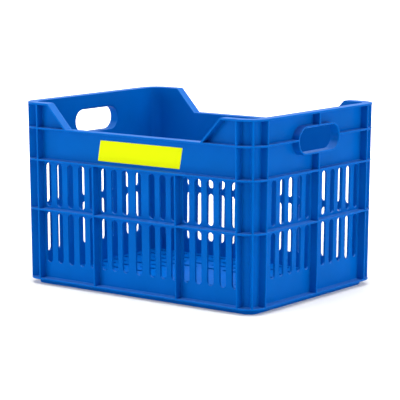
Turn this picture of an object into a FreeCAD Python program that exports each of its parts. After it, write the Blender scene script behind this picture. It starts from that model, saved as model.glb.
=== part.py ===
"""Stackable plastic crate: slotted walls, ribs all round, lowered long edges and two hand-holds.

Millimetres. The origin is the centre of the crate's footprint on the surface it stands on,
+X runs along the crate, +Y towards its back and +Z up. The crate is one moulding; its
members are built here as separate solids that meet face to face.
"""
import FreeCAD, Part

import math
import os

import Sketcher
from FreeCAD import Placement, Rotation, Vector

# ---------------------------------------------------------------- driving dimensions

SIZES = {
    # overall envelope, at the rim; the walls lean in by draft_inset down to the foot
    "crate_length": 400.0,
    "crate_width": 298.0,
    "crate_height": 255.0,
    "draft_inset": 3.3,
    "corner_radius": 28.0,
    # skin and ribs
    "wall_thickness": 2.9,
    "rib_depth": 11.0,
    "rib_thickness": 2.6,
    "rim_thickness": 2.8,
    # heights, counted up from the foot for the flange and down from the rim for the rings
    "flange_low": 7.0,
    "shoulder_drop": 34.0,
    "band_height": 41.4,
    "ring_spacing": 69.2,
    # raised ends of the long edges: level stretch beside the corner upright, then the slope;
    # the front opening between them is shifted to the left, and the back one to the right
    "shoulder_run": 22.4,
    "slope_run": 32.1,
    "dip_shift": 2.6,
    # uprights: the bay ones from the middle, the corner ones in from the envelope
    "bay_upright": 70.1,
    "long_corner_inset": 30.8,
    "end_corner_inset": 30.4,
    # slots in the walls
    "slot_width": 10.2,
    "slot_ring_gap": 3.0,
    "long_base_band": 21.6,
    "end_base_band": 31.7,
    "centre_bar": 12.8,
    "side_bay_slots": 5,
    "middle_half_slots": 3,
    "end_half_slots": 6,
    # hand-holds in the end walls, a little below the middle of the shoulder ring
    "grip_length": 93.4,
    "grip_height": 33.0,
    "grip_drop": 1.7,
    "collar_wall": 2.6,
    # floor and its slits, which leave a plain plate in the middle
    "floor_low": 7.6,
    "floor_thickness": 3.0,
    "slit_width": 7.0,
    "slit_bridge": 9.0,
    "slit_end_gap": 2.8,
    "slit_side_gap": 7.8,
    "slit_half_columns": 5,
    "slit_half_rows": 5,
    "plate_half_columns": 2,
    "plate_half_rows": 1,
    # label on the front band
    "label_length": 139.5,
    "label_height": 28.4,
    "label_lean": 5.3,
    "label_thickness": 0.4,
    "label_offset": 3.4,
    "label_rise": 4.4,
    # how far a cutting shape runs past what it cuts
    "cut_margin": 5.0,
}

doc = FreeCAD.newDocument("crate")


def make_sheet():
    """One spreadsheet row per driving dimension, each with a word alias."""
    sheet = doc.addObject("Spreadsheet::Sheet", "sizes")
    for row, (alias, value) in enumerate(SIZES.items(), start=1):
        sheet.set("A%d" % row, alias)
        sheet.set("B%d" % row, str(value))
        sheet.setAlias("B%d" % row, alias)
    doc.recompute()


make_sheet()

# ---------------------------------------------------------------- sizes worked out from others

HALF_LENGTH = "(crate_length / 2)"
HALF_WIDTH = "(crate_width / 2)"
CAVITY_INSET = "(rib_depth + wall_thickness)"

FLANGE_TOP = "(flange_low + rib_thickness)"
SHOULDER_TOP = "(crate_height - shoulder_drop)"
SHOULDER_LOW = f"({SHOULDER_TOP} - rib_thickness)"
UPPER_RIB_TOP = f"({SHOULDER_LOW} - band_height)"
UPPER_RIB_LOW = f"({UPPER_RIB_TOP} - rib_thickness)"
MID_RIB_LOW = f"({UPPER_RIB_LOW} - ring_spacing)"
MID_RIB_TOP = f"({MID_RIB_LOW} + rib_thickness)"
RIM_LOW = "(crate_height - rim_thickness)"

CORNER_X = f"({HALF_LENGTH} - long_corner_inset)"
CORNER_Y = f"({HALF_WIDTH} - end_corner_inset)"
DIP_HALF_TOP = f"({CORNER_X} - shoulder_run)"
DIP_HALF_LOW = f"({DIP_HALF_TOP} - slope_run)"
SLOPE_LEAN = "(slope_run / shoulder_drop)"
SLOPE_RIM_RUN = f"(rim_thickness * sqrt(1 + {SLOPE_LEAN}^2))"

SIDE_PITCH = f"(({CORNER_X} - bay_upright) / side_bay_slots)"
END_PITCH = f"({CORNER_Y} / end_half_slots)"
MIDDLE_FIRST = "(slot_width + centre_bar)"
MIDDLE_RUN = f"(bay_upright - {SIDE_PITCH} / 2 - {MIDDLE_FIRST})"

GRIP_LEVEL = f"({SHOULDER_TOP} - rib_thickness / 2 - grip_drop)"

FLOOR_DRAFT = "(draft_inset * (1 - floor_low / crate_height))"
FLOOR_HALF_LENGTH = f"({HALF_LENGTH} - {CAVITY_INSET} - {FLOOR_DRAFT})"
FLOOR_HALF_WIDTH = f"({HALF_WIDTH} - {CAVITY_INSET} - {FLOOR_DRAFT})"
COLUMN_PITCH = f"(({FLOOR_HALF_LENGTH} - slit_end_gap + slit_bridge / 2) / slit_half_columns)"
ROW_PITCH = f"(({FLOOR_HALF_WIDTH} - slit_side_gap - slit_width / 2) / slit_half_rows)"


def bound(expression):
    """The expression with every size in it turned into a reference to its cell."""
    text = ""
    word = ""
    for letter in expression + " ":
        if letter.isalnum() or letter == "_":
            word += letter
            continue
        text += "sizes." + word if word in SIZES else word
        text += letter
        word = ""
    return text.strip()


# ---------------------------------------------------------------- small builders

def box(name, x_range, y_range, z_range):
    """A box whose six faces are expressions over the sizes."""
    item = doc.addObject("Part::Box", name)
    for side, place, (low, high) in (
        ("Length", "x", x_range),
        ("Width", "y", y_range),
        ("Height", "z", z_range),
    ):
        item.setExpression(side, bound(f"({high}) - ({low})"))
        item.setExpression("Placement.Base." + place, bound(low))
    return item


def upright_prism(name, low_span, high_span, z_range, y_range):
    """A prism along Y with a level bottom and top edge and sloping sides."""
    item = doc.addObject("Part::Wedge", name)
    item.Placement = Placement(Vector(0, 0, 0), Rotation(Vector(1, 0, 0), 90))
    for prop, expression in (
        ("Xmin", low_span[0]),
        ("Xmax", low_span[1]),
        ("X2min", high_span[0]),
        ("X2max", high_span[1]),
        ("Ymin", z_range[0]),
        ("Ymax", z_range[1]),
        ("Zmin", f"-({y_range[1]})"),
        ("Zmax", f"-({y_range[0]})"),
        ("Z2min", f"-({y_range[1]})"),
        ("Z2max", f"-({y_range[0]})"),
    ):
        item.setExpression(prop, bound(expression))
    return item


def common(name, base, tool):
    item = doc.addObject("Part::Common", name)
    item.Base = base
    item.Tool = tool
    return item


def cut(name, base, tool):
    item = doc.addObject("Part::Cut", name)
    item.Base = base
    item.Tool = tool
    return item


def fuse(name, shapes):
    item = doc.addObject("Part::MultiFuse", name)
    item.Shapes = shapes
    item.Refine = True
    return item


def origin_plane(body, role):
    """The body's own origin plane with this role."""
    for feature in body.Origin.OriginFeatures:
        if feature.Role == role:
            return feature
    raise LookupError(role)


def value(expression):
    """What an expression comes to now."""
    return float(doc.getObject("sizes").evalExpression(bound(expression)))


def add_dimension(sketch, constraint, name, expression):
    """Adds a dimension constraint and binds it to the sheet."""
    index = sketch.addConstraint(constraint)
    sketch.renameConstraint(index, name)
    sketch.setExpression("Constraints." + name, bound(expression))


def draw_oblong(sketch, tag, low_tip, high_tip, width, across):
    """A closed oblong along the sketch's vertical axis, with half-round ends.

    across is how far its centre line stands off that axis, or None where it lies on it.
    """
    radius = value(width) / 2
    centre_line = 0 if across is None else value(across)
    low_centre = Vector(centre_line, value(low_tip) + radius, 0)
    high_centre = Vector(centre_line, value(high_tip) - radius, 0)
    side = Vector(radius, 0, 0)
    low_circle = Part.Circle(low_centre, Vector(0, 0, 1), radius)
    high_circle = Part.Circle(high_centre, Vector(0, 0, 1), radius)
    low_arc = sketch.addGeometry(Part.ArcOfCircle(low_circle, math.pi, 2 * math.pi), False)
    right_line = sketch.addGeometry(Part.LineSegment(low_centre + side, high_centre + side), False)
    high_arc = sketch.addGeometry(Part.ArcOfCircle(high_circle, 0, math.pi), False)
    left_line = sketch.addGeometry(Part.LineSegment(high_centre - side, low_centre - side), False)
    sketch.addConstraint(Sketcher.Constraint("Tangent", low_arc, 2, right_line, 1))
    sketch.addConstraint(Sketcher.Constraint("Tangent", right_line, 2, high_arc, 1))
    sketch.addConstraint(Sketcher.Constraint("Tangent", high_arc, 2, left_line, 1))
    sketch.addConstraint(Sketcher.Constraint("Tangent", left_line, 2, low_arc, 1))
    sketch.addConstraint(Sketcher.Constraint("Vertical", right_line))
    add_dimension(sketch, Sketcher.Constraint("Radius", low_arc, radius), tag + "_radius", f"{width} / 2")
    for place, arc, centre, expression in (
        ("_low", low_arc, low_centre, f"{low_tip} + {width} / 2"),
        ("_high", high_arc, high_centre, f"{high_tip} - {width} / 2"),
    ):
        constraint = Sketcher.Constraint("DistanceY", -1, 1, arc, 3, centre.y)
        add_dimension(sketch, constraint, tag + place, expression)
    if across is None:
        sketch.addConstraint(Sketcher.Constraint("PointOnObject", low_arc, 3, -2))
    else:
        constraint = Sketcher.Constraint("DistanceX", -1, 1, low_arc, 3, low_centre.x)
        add_dimension(sketch, constraint, tag + "_across", across)


def add_pocket(body, name, plane, oblongs, turn=0):
    """Cuts oblongs, given as (tag, low tip, high tip, width, across), right through the body."""
    sketch = body.newObject("Sketcher::SketchObject", name + "_sketch")
    sketch.AttachmentSupport = (origin_plane(body, plane), [""])
    sketch.MapMode = "FlatFace"
    sketch.AttachmentOffset = Placement(Vector(0, 0, 0), Rotation(Vector(0, 0, 1), turn))
    for oblong in oblongs:
        draw_oblong(sketch, *oblong)
    pocket = body.newObject("PartDesign::Pocket", name)
    pocket.Profile = sketch
    pocket.Type = "ThroughAll"
    pocket.Midplane = True
    doc.recompute()
    return pocket


def add_pattern(body, name, pocket, runs, mirror_planes):
    """Repeats a pocket along the sketch's axes and over the body's origin planes.

    runs holds (sketch axis, pitch, occurrences).
    """
    pattern = body.newObject("PartDesign::MultiTransform", name)
    pattern.Originals = [pocket]
    steps = []
    for axis, pitch, occurrences in runs:
        step = body.newObject("PartDesign::LinearPattern", name + "_run")
        step.Direction = (pocket.Profile[0], [axis])
        step.setExpression("Length", bound(f"{pitch} * ({occurrences} - 1)"))
        step.setExpression("Occurrences", bound(occurrences))
        steps.append(step)
    for plane in mirror_planes:
        step = body.newObject("PartDesign::Mirrored", name + "_mirror")
        step.MirrorPlane = (origin_plane(body, plane), [""])
        steps.append(step)
    pattern.Transformations = steps
    body.Tip = pattern
    doc.recompute()
    return pattern


def body_on(name, base):
    """A body that starts from an existing solid."""
    body = doc.addObject("PartDesign::Body", name)
    body.BaseFeature = base
    doc.recompute()
    return body


# ---------------------------------------------------------------- drafted envelopes

def make_envelope(name, inset):
    """The crate's outer form, moved in by inset.

    Its walls lean in from the rim down to the foot, and its corners turn round centres that
    are the same at every height, as the draft of a mould makes them.
    """
    body = doc.addObject("PartDesign::Body", name)
    block = body.newObject("PartDesign::AdditiveBox", name + "_block")
    block.AttachmentSupport = (origin_plane(body, "XY_Plane"), [""])
    block.MapMode = "FlatFace"
    rim_length = f"({HALF_LENGTH} - {inset})"
    rim_width = f"({HALF_WIDTH} - {inset})"
    for prop, expression in (
        ("Length", f"2 * {rim_length}"),
        ("Width", f"2 * {rim_width}"),
        ("Height", "crate_height"),
        ("AttachmentOffset.Base.x", "-" + rim_length),
        ("AttachmentOffset.Base.y", "-" + rim_width),
    ):
        block.setExpression(prop, bound(expression))
    doc.recompute()
    corners = []
    for number, edge in enumerate(block.Shape.Edges, start=1):
        if abs(edge.Vertexes[0].Z - edge.Vertexes[1].Z) > edge.Length / 2:
            corners.append("Edge%d" % number)
    fillet = body.newObject("PartDesign::Fillet", name + "_corners")
    fillet.Base = (block, corners)
    fillet.setExpression("Radius", bound(f"corner_radius - {inset}"))
    doc.recompute()
    sides = []
    for number, face in enumerate(fillet.Shape.Faces, start=1):
        if abs(face.normalAt(0, 0).z) > 0.5:
            if face.CenterOfMass.z > value("crate_height") / 2:
                rim_face = "Face%d" % number
        else:
            sides.append("Face%d" % number)
    draft = body.newObject("PartDesign::Draft", name + "_draft")
    draft.Base = (fillet, sides)
    draft.NeutralPlane = (fillet, [rim_face])
    draft.Reversed = True
    draft.setExpression("Angle", bound("atan(draft_inset / crate_height)"))
    doc.recompute()
    return body


outer_form = make_envelope("outer_form", "(0 * rib_depth)")
skin_form = make_envelope("skin_form", "rib_depth")
cavity_form = make_envelope("cavity_form", CAVITY_INSET)
label_form = make_envelope("label_form", "(rib_depth - label_thickness)")

skin = cut("skin", skin_form, cavity_form)
rib_zone = cut("rib_zone", outer_form, skin_form)
label_zone = cut("label_zone", label_form, skin_form)

FAR_X = f"({HALF_LENGTH} + cut_margin)"
FAR_Y = f"({HALF_WIDTH} + cut_margin)"
ALL_X = ("-" + FAR_X, FAR_X)
ALL_Y = ("-" + FAR_Y, FAR_Y)
ALL_Z = ("-cut_margin", "crate_height + cut_margin")
LEFT_X = ("-" + FAR_X, "0 * cut_margin")
RIGHT_X = ("0 * cut_margin", FAR_X)
FRONT_Y = ("-" + FAR_Y, "0 * cut_margin")
BACK_Y = ("0 * cut_margin", FAR_Y)
ENDS = {"left": LEFT_X, "right": RIGHT_X}
SIDES = {"front": FRONT_Y, "back": BACK_Y}


# ---------------------------------------------------------------- cutting shapes

def make_dip(name, widening):
    """The openings above both lowered edges, their sloping sides moved out by widening."""
    low_half = f"({DIP_HALF_LOW} + {widening})"
    high_half = f"({DIP_HALF_TOP} + {SLOPE_LEAN} * cut_margin + {widening})"
    halves = []
    for side, middle in (("front", "-dip_shift"), ("back", "dip_shift")):
        half = upright_prism(
            f"{name}_{side}",
            (f"{middle} - {low_half}", f"{middle} + {low_half}"),
            (f"{middle} - {high_half}", f"{middle} + {high_half}"),
            (SHOULDER_TOP, "crate_height + cut_margin"),
            SIDES[side],
        )
        halves.append(half)
    return fuse(name, halves)


def make_grip_bar(name, growth):
    """A racetrack bar through both end walls, its outline moved out by growth."""
    radius = f"(grip_height / 2 + {growth})"
    straight = "(grip_length / 2 - grip_height / 2)"
    middle = box(
        name + "_middle",
        ALL_X,
        ("-" + straight, straight),
        (f"{GRIP_LEVEL} - {radius}", f"{GRIP_LEVEL} + {radius}"),
    )
    rounds = []
    for tag, sign in (("front", "-"), ("back", "")):
        item = doc.addObject("Part::Cylinder", f"{name}_{tag}")
        item.Placement = Placement(Vector(0, 0, 0), Rotation(Vector(0, 1, 0), 90))
        item.setExpression("Radius", bound(radius))
        item.setExpression("Height", bound(f"2 * {FAR_X}"))
        item.setExpression("Placement.Base.x", bound("-" + FAR_X))
        item.setExpression("Placement.Base.y", bound(sign + straight))
        item.setExpression("Placement.Base.z", bound(GRIP_LEVEL))
        rounds.append(item)
    return fuse(name, [middle] + rounds)


dip = make_dip("dip", "(0 * rim_thickness)")
dip_with_rim = make_dip("dip_with_rim", SLOPE_RIM_RUN)
grip_bar = make_grip_bar("grip_bar", "(0 * collar_wall)")
collar_bar = make_grip_bar("collar_bar", "collar_wall")

nodes = []


def keep(item, label):
    """Registers a finished sub-part under the name that its file gets."""
    item.Label = label
    nodes.append(item)


# ---------------------------------------------------------------- floor

def make_floor():
    plate = common(
        "floor_plate",
        cavity_form,
        box("floor_slab", ALL_X, ALL_Y, ("floor_low", "floor_low + floor_thickness")),
    )
    floor = body_on("floor_grid", plate)
    outer_columns = "(slit_half_columns - plate_half_columns)"
    outer_rows = "(slit_half_rows - plate_half_rows)"
    blocks = (
        ("outer_slits", "plate_half_columns", ROW_PITCH, outer_columns, "slit_half_rows"),
        ("axis_slits", "plate_half_columns", None, outer_columns, None),
        (
            "middle_slits",
            "(0 * plate_half_columns)",
            f"({ROW_PITCH} * (plate_half_rows + 1))",
            "plate_half_columns",
            outer_rows,
        ),
    )
    for name, first_column, first_row, columns, rows in blocks:
        low_tip = f"({COLUMN_PITCH} * {first_column} + slit_bridge / 2)"
        high_tip = f"({COLUMN_PITCH} * ({first_column} + 1) - slit_bridge / 2)"
        oblong = ("slit", low_tip, high_tip, "slit_width", first_row)
        pocket = add_pocket(floor, name, "XY_Plane", [oblong], turn=-90)
        runs = [("V_Axis", COLUMN_PITCH, columns)]
        mirrors = ["YZ_Plane"]
        if rows is not None:
            runs.append(("H_Axis", ROW_PITCH, rows))
            mirrors.append("XZ_Plane")
        add_pattern(floor, name + "_pattern", pocket, runs, mirrors)
    keep(floor, "floor_grid")


# ---------------------------------------------------------------- walls

def slot_pair(base_band, across):
    """The lower and the upper slot of one column."""
    lower = ("lower", f"({FLANGE_TOP} + {base_band})", f"({MID_RIB_LOW} - slot_ring_gap)")
    upper = ("upper", f"({MID_RIB_TOP} + slot_ring_gap)", f"({UPPER_RIB_LOW} - slot_ring_gap)")
    return [row + ("slot_width", across) for row in (lower, upper)]


def make_long_wall(side, y_range):
    """A front or back wall up to its lowered edge, with three bays of slots."""
    region = box(side + "_wall_region", ("-" + CORNER_X, CORNER_X), y_range, ALL_Z)
    below = cut(side + "_wall_raised", common(side + "_wall_skin", skin, region), above_shoulder)
    wall = body_on(side + "_wall", below)
    add_pocket(wall, "centre_slots", "XZ_Plane", slot_pair("long_base_band", None))
    middle = add_pocket(wall, "middle_slots", "XZ_Plane", slot_pair("long_base_band", MIDDLE_FIRST))
    middle_pitch = f"({MIDDLE_RUN} / (middle_half_slots - 1))"
    runs = [("H_Axis", middle_pitch, "middle_half_slots")]
    add_pattern(wall, "middle_slot_pattern", middle, runs, ["YZ_Plane"])
    first = f"(bay_upright + {SIDE_PITCH} / 2)"
    outer = add_pocket(wall, "outer_slots", "XZ_Plane", slot_pair("long_base_band", first))
    runs = [("H_Axis", SIDE_PITCH, "side_bay_slots")]
    add_pattern(wall, "outer_slot_pattern", outer, runs, ["YZ_Plane"])
    keep(wall, side + "_wall")


def make_end_wall(end, x_range):
    """The slotted lower part of an end wall, up to the top of the upper rib."""
    region = box(
        end + "_wall_region",
        x_range,
        ("-" + CORNER_Y, CORNER_Y),
        ("-cut_margin", UPPER_RIB_TOP),
    )
    wall = body_on(end + "_wall", common(end + "_wall_skin", skin, region))
    pocket = add_pocket(wall, "end_slots", "YZ_Plane", slot_pair("end_base_band", f"({END_PITCH} / 2)"))
    runs = [("H_Axis", END_PITCH, "end_half_slots")]
    add_pattern(wall, "end_slot_pattern", pocket, runs, ["XZ_Plane"])
    keep(wall, end + "_wall")


def make_handle_panel(end, x_range):
    """The plain upper part of an end wall, with the hand-hold through it."""
    region = box(
        end + "_panel_region",
        x_range,
        ("-" + CORNER_Y, CORNER_Y),
        (UPPER_RIB_TOP, "crate_height + cut_margin"),
    )
    panel = cut(end + "_panel", common(end + "_panel_skin", skin, region), grip_bar)
    keep(panel, end + "_handle_panel")


def make_shoulder(side, y_range, end):
    """The raised wall piece between a corner and the sloping edge of the dip."""
    low_x, high_x = ("-" + CORNER_X, "0 * cut_margin") if end == "left" else ("0 * cut_margin", CORNER_X)
    name = f"{side}_{end}_shoulder"
    region = box(name + "_region", (low_x, high_x), y_range, (SHOULDER_TOP, "crate_height + cut_margin"))
    keep(cut(name, common(name + "_skin", skin, region), dip), name)


def make_corner(side, y_range, end, x_range):
    """A rounded corner of the skin, full height."""
    name = f"{side}_{end}_corner"
    corner_x = ("-" + FAR_X, "-" + CORNER_X) if end == "left" else (CORNER_X, FAR_X)
    corner_y = ("-" + FAR_Y, "-" + CORNER_Y) if side == "front" else (CORNER_Y, FAR_Y)
    keep(common(name, skin, box(name + "_region", corner_x, corner_y, ALL_Z)), name)


# ---------------------------------------------------------------- rings and rims

def make_ring(name, low, high):
    """A horizontal rib round the whole skin, clear of the hand-hold collars."""
    slab = box(name + "_slab", ALL_X, ALL_Y, (low, high))
    ring = common(name + "_band", rib_zone, slab)
    keep(cut(name, ring, collar_bar), name)


def make_rim(end, x_range):
    """The raised rim of one end: level round the end wall, then down both slopes."""
    level = box(end + "_rim_level", ALL_X, ALL_Y, (RIM_LOW, "crate_height + cut_margin"))
    form = fuse(end + "_rim_form", [level, dip_with_rim])
    region = box(end + "_rim_region", x_range, ALL_Y, ALL_Z)
    half = common(end + "_rim_half", common(end + "_rim_band", rib_zone, form), region)
    keep(cut(end + "_rim", half, dip), end + "_rim")


# ---------------------------------------------------------------- uprights and collars

def upright_spans(up_to_rim):
    """The clear heights between the rings, from the flange up."""
    spans = [(FLANGE_TOP, MID_RIB_LOW), (MID_RIB_TOP, UPPER_RIB_LOW)]
    if up_to_rim:
        spans += [(UPPER_RIB_TOP, SHOULDER_LOW), (SHOULDER_TOP, RIM_LOW)]
    return spans


def centred(place):
    """A rib's thickness about its place."""
    return (f"{place} - rib_thickness / 2", f"{place} + rib_thickness / 2")


def make_long_uprights(side, y_range):
    name = side + "_uprights"
    plates = []
    for place, up_to_rim in ((CORNER_X, True), ("bay_upright", False)):
        for sign in ("-", ""):
            for low, high in upright_spans(up_to_rim):
                tag = f"{name}_plate_{len(plates)}"
                plates.append(box(tag, centred(sign + place), y_range, (low, high)))
    keep(common(name, rib_zone, fuse(name + "_plates", plates)), name)


def make_end_uprights(end, x_range):
    name = end + "_uprights"
    plates = []
    for place in ("-" + CORNER_Y, "(0 * rib_thickness)", CORNER_Y):
        for low, high in upright_spans(True):
            tag = f"{name}_plate_{len(plates)}"
            plates.append(box(tag, x_range, centred(place), (low, high)))
    ribs = common(name + "_ribs", rib_zone, fuse(name + "_plates", plates))
    keep(cut(name, ribs, collar_bar), name)


def make_corner_uprights():
    """One rib on the diagonal of each rounded corner."""
    plates = []
    half = "(rib_thickness / 2 * sqrt(0.5))"
    for angle, x_sign, y_sign in ((45, "", ""), (135, "-", ""), (225, "-", "-"), (315, "", "-")):
        centre_x = f"{x_sign}({HALF_LENGTH} - corner_radius)"
        centre_y = f"{y_sign}({HALF_WIDTH} - corner_radius)"
        for low, high in upright_spans(True):
            item = doc.addObject("Part::Box", f"corner_plate_{len(plates)}")
            item.Placement = Placement(Vector(0, 0, 0), Rotation(Vector(0, 0, 1), angle))
            item.setExpression("Length", bound("corner_radius + cut_margin"))
            item.setExpression("Width", bound("rib_thickness"))
            item.setExpression("Height", bound(f"{high} - {low}"))
            item.setExpression("Placement.Base.x", bound(f"{centre_x} + {y_sign or '+'}1 * {half}"))
            item.setExpression("Placement.Base.y", bound(f"{centre_y} - {x_sign or '+'}1 * {half}"))
            item.setExpression("Placement.Base.z", bound(low))
            plates.append(item)
    keep(common("corner_uprights", rib_zone, fuse("corner_plates", plates)), "corner_uprights")


def make_collar(end, x_range):
    """The raised racetrack collar round a hand-hold, from the skin out to the envelope."""
    region = box(end + "_collar_region", x_range, ALL_Y, ALL_Z)
    band = common(end + "_collar_band", common(end + "_collar_zone", rib_zone, collar_bar), region)
    keep(cut(end + "_collar", band, grip_bar), end + "_handle_collar")


def make_label():
    """A thin leaning parallelogram on the plain front band."""
    left = "(label_offset - label_length / 2)"
    right = "(label_offset + label_length / 2)"
    low = f"({UPPER_RIB_TOP} + label_rise)"
    outline = upright_prism(
        "label_outline",
        (f"{left} - label_lean / 2", f"{right} - label_lean / 2"),
        (f"{left} + label_lean / 2", f"{right} + label_lean / 2"),
        (low, f"{low} + label_height"),
        FRONT_Y,
    )
    keep(common("label", label_zone, outline), "label")


# ---------------------------------------------------------------- the crate

above_shoulder = box("above_shoulder", ALL_X, ALL_Y, (SHOULDER_TOP, "crate_height + 2 * cut_margin"))

make_floor()
for side_name, side_range in SIDES.items():
    make_long_wall(side_name, side_range)
    for end_name, end_range in ENDS.items():
        make_shoulder(side_name, side_range, end_name)
        make_corner(side_name, side_range, end_name, end_range)
    make_long_uprights(side_name, side_range)
for end_name, end_range in ENDS.items():
    make_end_wall(end_name, end_range)
    make_handle_panel(end_name, end_range)
    make_rim(end_name, end_range)
    make_end_uprights(end_name, end_range)
    make_collar(end_name, end_range)
make_corner_uprights()
make_ring("base_flange", "flange_low", FLANGE_TOP)
make_ring("mid_rib", MID_RIB_LOW, MID_RIB_TOP)
make_ring("upper_rib", UPPER_RIB_LOW, UPPER_RIB_TOP)
make_ring("shoulder_rib", SHOULDER_LOW, SHOULDER_TOP)
make_label()

doc.recompute()


# ---------------------------------------------------------------- tests and files

def check_document():
    """Raises if any object failed or any sub-part has no sound shape."""
    for item in doc.Objects:
        if "Invalid" in item.State or "Error" in item.State:
            raise RuntimeError("failed: " + item.Label)
    for item in nodes:
        if item.Shape.isNull() or not item.Shape.isValid() or item.Shape.Volume <= 0:
            raise RuntimeError("unsound shape: " + item.Label)


def write_files():
    os.makedirs("parts", exist_ok=True)
    for item in nodes:
        item.Shape.exportStep("parts/" + item.Label + ".step")


check_document()
write_files()
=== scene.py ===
"""The looks of a stackable plastic crate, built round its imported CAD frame.

Metres. +X runs along the crate, +Y towards its back and +Z up; the crate stands on z = 0.
A flat shape is drawn with x along its wall and y up it, and is then stood on its wall.
"""

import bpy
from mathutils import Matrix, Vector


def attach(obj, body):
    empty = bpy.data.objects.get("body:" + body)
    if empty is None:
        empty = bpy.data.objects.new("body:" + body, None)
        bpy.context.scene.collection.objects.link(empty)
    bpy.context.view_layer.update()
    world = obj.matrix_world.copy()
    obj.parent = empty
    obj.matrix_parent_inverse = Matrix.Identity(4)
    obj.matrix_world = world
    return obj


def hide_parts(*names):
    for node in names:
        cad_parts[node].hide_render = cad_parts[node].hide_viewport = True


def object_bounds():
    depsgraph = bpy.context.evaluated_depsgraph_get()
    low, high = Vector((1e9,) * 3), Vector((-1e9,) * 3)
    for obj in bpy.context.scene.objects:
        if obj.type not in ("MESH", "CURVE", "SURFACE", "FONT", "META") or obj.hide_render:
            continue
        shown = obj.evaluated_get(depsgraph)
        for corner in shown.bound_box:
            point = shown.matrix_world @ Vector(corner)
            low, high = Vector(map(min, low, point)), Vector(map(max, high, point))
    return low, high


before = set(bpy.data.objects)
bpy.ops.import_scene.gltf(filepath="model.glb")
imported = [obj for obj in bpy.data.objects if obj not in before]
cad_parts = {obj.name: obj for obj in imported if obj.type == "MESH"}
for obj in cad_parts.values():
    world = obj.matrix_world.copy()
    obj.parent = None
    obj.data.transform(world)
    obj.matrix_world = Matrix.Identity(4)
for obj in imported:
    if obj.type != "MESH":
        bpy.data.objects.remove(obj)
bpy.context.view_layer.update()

import math
from functools import partial

import bmesh
import bpy
from bpy.props import FloatProperty, FloatVectorProperty, IntProperty, PointerProperty
from mathutils import Matrix, Vector

bl_info = {
    "name": "Stackable Plastic Crate",
    "version": (1, 0, 0),
    "blender": (4, 5, 0),
    "location": "3D View > Sidebar > Crate",
    "description": "Builds the visible pieces of a slotted plastic crate round its CAD frame",
    "category": "Object",
}

MM = 0.001
# nearer than this, two points of a mesh are one, and an edge lies on a face
SAME_POINT = 0.002 * MM
NEAR = 0.01 * MM
BODY = "root"
PLASTIC_SLOT = "crate_plastic"
LABEL_SLOT = "label_film"
FRAME_LOW, FRAME_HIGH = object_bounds()


def srgb(hex_text):
    """A linear colour from an sRGB hex value such as #005ABB."""
    channels = [int(hex_text[start:start + 2], 16) / 255 for start in (1, 3, 5)]
    linear = [c / 12.92 if c <= 0.04045 else ((c + 0.055) / 1.055) ** 2.4 for c in channels]
    return (*linear, 1.0)


def size(name, description, millimetres):
    """A length that a user can change, with its default given in millimetres."""
    return FloatProperty(
        name=name,
        description=description,
        default=millimetres * MM,
        subtype="DISTANCE",
        unit="LENGTH",
    )


def angle(name, description, degrees):
    """An angle that a user can change, with its default given in degrees."""
    return FloatProperty(
        name=name,
        description=description,
        default=math.radians(degrees),
        subtype="ANGLE",
        unit="ROTATION",
    )


def tint(name, description, hex_text):
    """A colour that a user can change."""
    return FloatVectorProperty(
        name=name,
        description=description,
        default=srgb(hex_text),
        size=4,
        min=0.0,
        max=1.0,
        subtype="COLOR",
    )


def count(name, description, default):
    """A whole number that a user can change."""
    return IntProperty(name=name, description=description, default=default, min=1)


# ------------------------ what a user may change

class CrateForm(bpy.types.PropertyGroup):
    """Sizes of the crate's walls, ribs and rims."""

    # the frame gives the first three
    length: size("Length", "Length over the rims", (FRAME_HIGH.x - FRAME_LOW.x) / MM)
    width: size("Width", "Width over the rims", (FRAME_HIGH.y - FRAME_LOW.y) / MM)
    height: size("Height", "Height to the top of the rims", FRAME_HIGH.z / MM)
    draft: size("Draft", "How far each wall leans in from the rim down to the foot", 3.3)
    corner_radius: size("Corner radius", "Radius of the outer corners, seen from above", 28.0)
    rib_depth: size("Rib depth", "How far the ribs stand out from the wall", 11.0)
    rib_thickness: size("Rib thickness", "Thickness of rings and uprights", 2.6)
    rim_thickness: size("Rim thickness", "Thickness of the raised rims", 2.8)
    wall_thickness: size("Wall thickness", "Thickness of the walls", 2.9)
    flange_low: size("Flange level", "Underside of the lowest ring", 7.0)
    shoulder_drop: size("Shoulder drop", "From the rim down to the lowered long edges", 34.0)
    band_height: size("Band height", "Plain band below the lowered edge", 41.4)
    ring_spacing: size("Ring spacing", "Clear height between the rings round the upper slots", 69.2)
    shoulder_run: size("Shoulder run", "Level rim between a corner upright and the slope", 22.4)
    slope_run: size("Slope run", "Length of the slope, seen from above", 32.1)
    dip_shift: size("Dip shift", "From the wall's middle to a lowered edge's, leftwards", 2.6)
    slope_round: size("Slope rounding", "Radius where the level rim turns into the slope", 3.6)
    bay_upright: size("Bay upright", "Place of the bay uprights from the middle", 70.1)
    long_corner_inset: size("Long corner inset", "From the rim's end to a corner upright", 30.8)
    end_corner_inset: size("End corner inset", "From the rim's side to a corner upright", 30.4)
    seam_inset: size("Seam inset", "How far a wall piece ends inside its corner upright", 3.2)


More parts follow.
